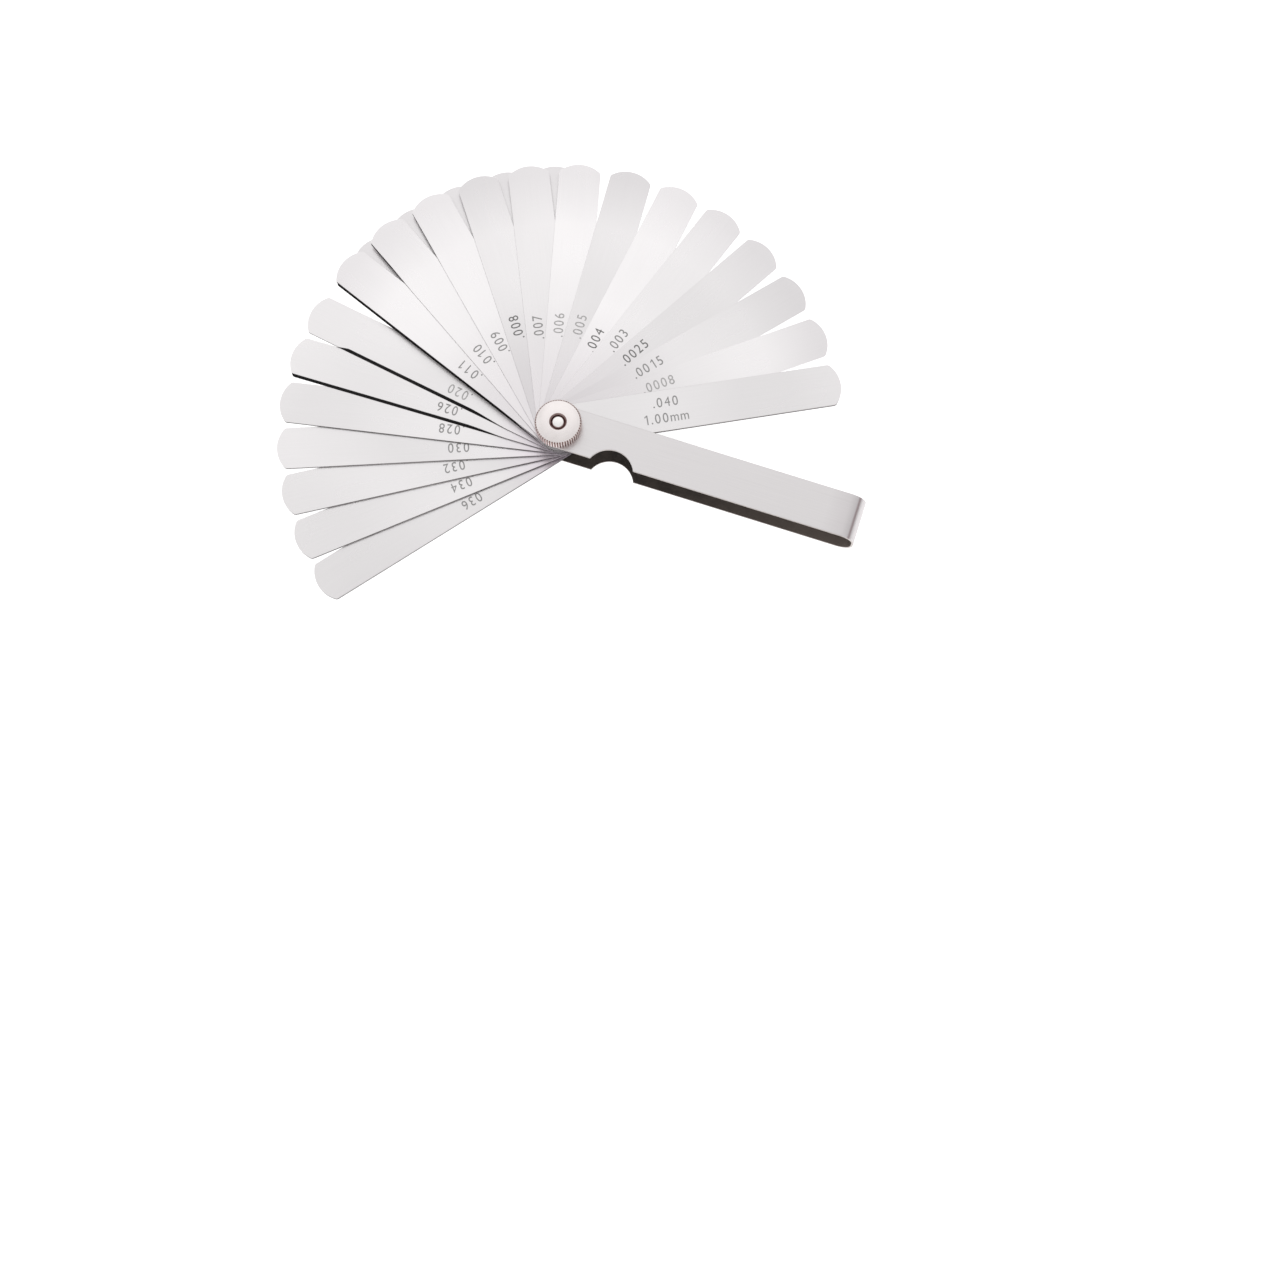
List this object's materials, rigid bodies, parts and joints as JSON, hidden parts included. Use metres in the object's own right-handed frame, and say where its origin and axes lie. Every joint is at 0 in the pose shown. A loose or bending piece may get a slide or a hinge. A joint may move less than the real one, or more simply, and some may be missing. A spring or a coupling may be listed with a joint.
{
  "type": "feeler gauge",
  "caption": "Folding feeler gauge: flat steel thickness blades fanned about a pivot screw out of a folded sheet-steel case, clamped by a knurled lock nut.",
  "frame": {"origin": "on the pivot axis, at the underside of the pivot screw's head", "axes": "+X along the case from the pivot towards its closed, folded end; +Z along the pivot axis from the screw head towards the lock nut; +Y completes a right-handed frame, so the blades come out of the case on the +Y side and the thumb notch is on the -Y side"},
  "size_m": [0.1783, 0.1528, 0.0171],
  "materials": {
    "blade_steel": "fine satin ground spring steel with darker sheared edges and grey etched size numbers",
    "case_steel": "satin plated sheet steel, dark inside",
    "nut_nickel": "bright warm nickel plate, turned face and knurled rim",
    "screw_steel": "bright turned steel"
  },
  "bodies": {
    "case": {"case": "case_steel", "pivot_screw": "screw_steel"},
    "lock_nut": {"lock_nut": "nut_nickel"},
    "blade_1_00mm": {"blade_1_00mm": "blade_steel"},
    "blade_0_02mm": {"blade_0_02mm": "blade_steel"},
    "blade_0_04mm": {"blade_0_04mm": "blade_steel"},
    "blade_0_06mm": {"blade_0_06mm": "blade_steel"},
    "blade_0_08mm": {"blade_0_08mm": "blade_steel"},
    "blade_0_10mm": {"blade_0_10mm": "blade_steel"},
    "blade_0_13mm": {"blade_0_13mm": "blade_steel"},
    "blade_0_15mm": {"blade_0_15mm": "blade_steel"},
    "blade_0_18mm": {"blade_0_18mm": "blade_steel"},
    "blade_0_20mm": {"blade_0_20mm": "blade_steel"},
    "blade_0_23mm": {"blade_0_23mm": "blade_steel"},
    "blade_0_25mm": {"blade_0_25mm": "blade_steel"},
    "blade_0_28mm": {"blade_0_28mm": "blade_steel"},
    "blade_0_30mm": {"blade_0_30mm": "blade_steel"},
    "blade_0_33mm": {"blade_0_33mm": "blade_steel"},
    "blade_0_35mm": {"blade_0_35mm": "blade_steel"},
    "blade_0_38mm": {"blade_0_38mm": "blade_steel"},
    "blade_0_40mm": {"blade_0_40mm": "blade_steel"},
    "blade_0_45mm": {"blade_0_45mm": "blade_steel"},
    "blade_0_50mm": {"blade_0_50mm": "blade_steel"},
    "blade_0_65mm": {"blade_0_65mm": "blade_steel"},
    "blade_0_70mm": {"blade_0_70mm": "blade_steel"},
    "blade_0_75mm": {"blade_0_75mm": "blade_steel"},
    "blade_0_80mm": {"blade_0_80mm": "blade_steel"},
    "blade_0_85mm": {"blade_0_85mm": "blade_steel"},
    "blade_0_90mm": {"blade_0_90mm": "blade_steel"}
  },
  "joints": [
    {"name": "lock_nut_turn", "type": "hinge", "parent": "case", "child": "lock_nut", "pos_m": [0, 0, 0.01529], "axis": [0, 0, 1], "range_deg": [0, 360]},
    {"name": "blade_1_00mm_swing", "type": "hinge", "parent": "case", "child": "blade_1_00mm", "pos_m": [0, 0, 0.0122], "axis": [0, 0, 1], "range_deg": [-27, 333]},
    {"name": "blade_0_02mm_swing", "type": "hinge", "parent": "case", "child": "blade_0_02mm", "pos_m": [0, 0, 0.01167], "axis": [0, 0, 1], "range_deg": [-38, 322]},
    {"name": "blade_0_04mm_swing", "type": "hinge", "parent": "case", "child": "blade_0_04mm", "pos_m": [0, 0, 0.01162], "axis": [0, 0, 1], "range_deg": [-49, 311]},
    {"name": "blade_0_06mm_swing", "type": "hinge", "parent": "case", "child": "blade_0_06mm", "pos_m": [0, 0, 0.01155], "axis": [0, 0, 1], "range_deg": [-60, 300]},
    {"name": "blade_0_08mm_swing", "type": "hinge", "parent": "case", "child": "blade_0_08mm", "pos_m": [0, 0, 0.01146], "axis": [0, 0, 1], "range_deg": [-71, 289]},
    {"name": "blade_0_10mm_swing", "type": "hinge", "parent": "case", "child": "blade_0_10mm", "pos_m": [0, 0, 0.01135], "axis": [0, 0, 1], "range_deg": [-82, 278]},
    {"name": "blade_0_13mm_swing", "type": "hinge", "parent": "case", "child": "blade_0_13mm", "pos_m": [0, 0, 0.01121], "axis": [0, 0, 1], "range_deg": [-93, 267]},
    {"name": "blade_0_15mm_swing", "type": "hinge", "parent": "case", "child": "blade_0_15mm", "pos_m": [0, 0, 0.01106], "axis": [0, 0, 1], "range_deg": [-104, 256]},
    {"name": "blade_0_18mm_swing", "type": "hinge", "parent": "case", "child": "blade_0_18mm", "pos_m": [0, 0, 0.01087], "axis": [0, 0, 1], "range_deg": [-115, 245]},
    {"name": "blade_0_20mm_swing", "type": "hinge", "parent": "case", "child": "blade_0_20mm", "pos_m": [0, 0, 0.01066], "axis": [0, 0, 1], "range_deg": [-126, 234]},
    {"name": "blade_0_23mm_swing", "type": "hinge", "parent": "case", "child": "blade_0_23mm", "pos_m": [0, 0, 0.01043], "axis": [0, 0, 1], "range_deg": [-137, 223]},
    {"name": "blade_0_25mm_swing", "type": "hinge", "parent": "case", "child": "blade_0_25mm", "pos_m": [0, 0, 0.01017], "axis": [0, 0, 1], "range_deg": [-148, 212]},
    {"name": "blade_0_28mm_swing", "type": "hinge", "parent": "case", "child": "blade_0_28mm", "pos_m": [0, 0, 0.00988], "axis": [0, 0, 1], "range_deg": [-159, 201]},
    {"name": "blade_0_30mm_swing", "type": "hinge", "parent": "case", "child": "blade_0_30mm", "pos_m": [0, 0, 0.00957], "axis": [0, 0, 1], "range_deg": [-109.5, 250.5]},
    {"name": "blade_0_33mm_swing", "type": "hinge", "parent": "case", "child": "blade_0_33mm", "pos_m": [0, 0, 0.00924], "axis": [0, 0, 1], "range_deg": [-120.5, 239.5]},
    {"name": "blade_0_35mm_swing", "type": "hinge", "parent": "case", "child": "blade_0_35mm", "pos_m": [0, 0, 0.00887], "axis": [0, 0, 1], "range_deg": [-131.5, 228.5]},
    {"name": "blade_0_38mm_swing", "type": "hinge", "parent": "case", "child": "blade_0_38mm", "pos_m": [0, 0, 0.00849], "axis": [0, 0, 1], "range_deg": [-142.5, 217.5]},
    {"name": "blade_0_40mm_swing", "type": "hinge", "parent": "case", "child": "blade_0_40mm", "pos_m": [0, 0, 0.00808], "axis": [0, 0, 1], "range_deg": [-153.5, 206.5]},
    {"name": "blade_0_45mm_swing", "type": "hinge", "parent": "case", "child": "blade_0_45mm", "pos_m": [0, 0, 0.00764], "axis": [0, 0, 1], "range_deg": [-159, 201]},
    {"name": "blade_0_50mm_swing", "type": "hinge", "parent": "case", "child": "blade_0_50mm", "pos_m": [0, 0, 0.00714], "axis": [0, 0, 1], "range_deg": [-171, 189]},
    {"name": "blade_0_65mm_swing", "type": "hinge", "parent": "case", "child": "blade_0_65mm", "pos_m": [0, 0, 0.00654], "axis": [0, 0, 1], "range_deg": [-181, 179]},
    {"name": "blade_0_70mm_swing", "type": "hinge", "parent": "case", "child": "blade_0_70mm", "pos_m": [0, 0, 0.00585], "axis": [0, 0, 1], "range_deg": [-191, 169]},
    {"name": "blade_0_75mm_swing", "type": "hinge", "parent": "case", "child": "blade_0_75mm", "pos_m": [0, 0, 0.00511], "axis": [0, 0, 1], "range_deg": [-201, 159]},
    {"name": "blade_0_80mm_swing", "type": "hinge", "parent": "case", "child": "blade_0_80mm", "pos_m": [0, 0, 0.00431], "axis": [0, 0, 1], "range_deg": [-211, 149]},
    {"name": "blade_0_85mm_swing", "type": "hinge", "parent": "case", "child": "blade_0_85mm", "pos_m": [0, 0, 0.00347], "axis": [0, 0, 1], "range_deg": [-221, 139]},
    {"name": "blade_0_90mm_swing", "type": "hinge", "parent": "case", "child": "blade_0_90mm", "pos_m": [0, 0, 0.00257], "axis": [0, 0, 1], "range_deg": [-231, 129]}
  ]
}
